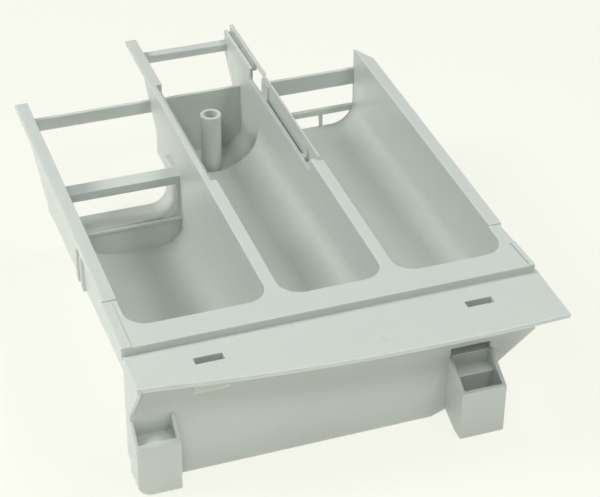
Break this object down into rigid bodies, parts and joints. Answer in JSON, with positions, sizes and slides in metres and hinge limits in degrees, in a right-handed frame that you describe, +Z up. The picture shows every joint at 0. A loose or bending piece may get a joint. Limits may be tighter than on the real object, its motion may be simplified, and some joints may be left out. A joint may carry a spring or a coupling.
{
  "type": "detergent dispenser drawer",
  "caption": "Moulded washing machine detergent drawer body: side by side open troughs, a softener sump with siphon tube, open rear frames, a front flange and fascia sockets.",
  "frame": {"origin": "middle of the deck's front edge, on the deck's upper face", "axes": "+X to the right seen from the front, +Y towards the rear of the drawer, +Z up"},
  "size_m": [0.202, 0.3068, 0.0773],
  "materials": {
    "moulded_plastic": "satin, light grey, slightly translucent polypropylene"
  },
  "bodies": {
    "root": {"drawer_body": "moulded_plastic"}
  },
  "joints": []
}
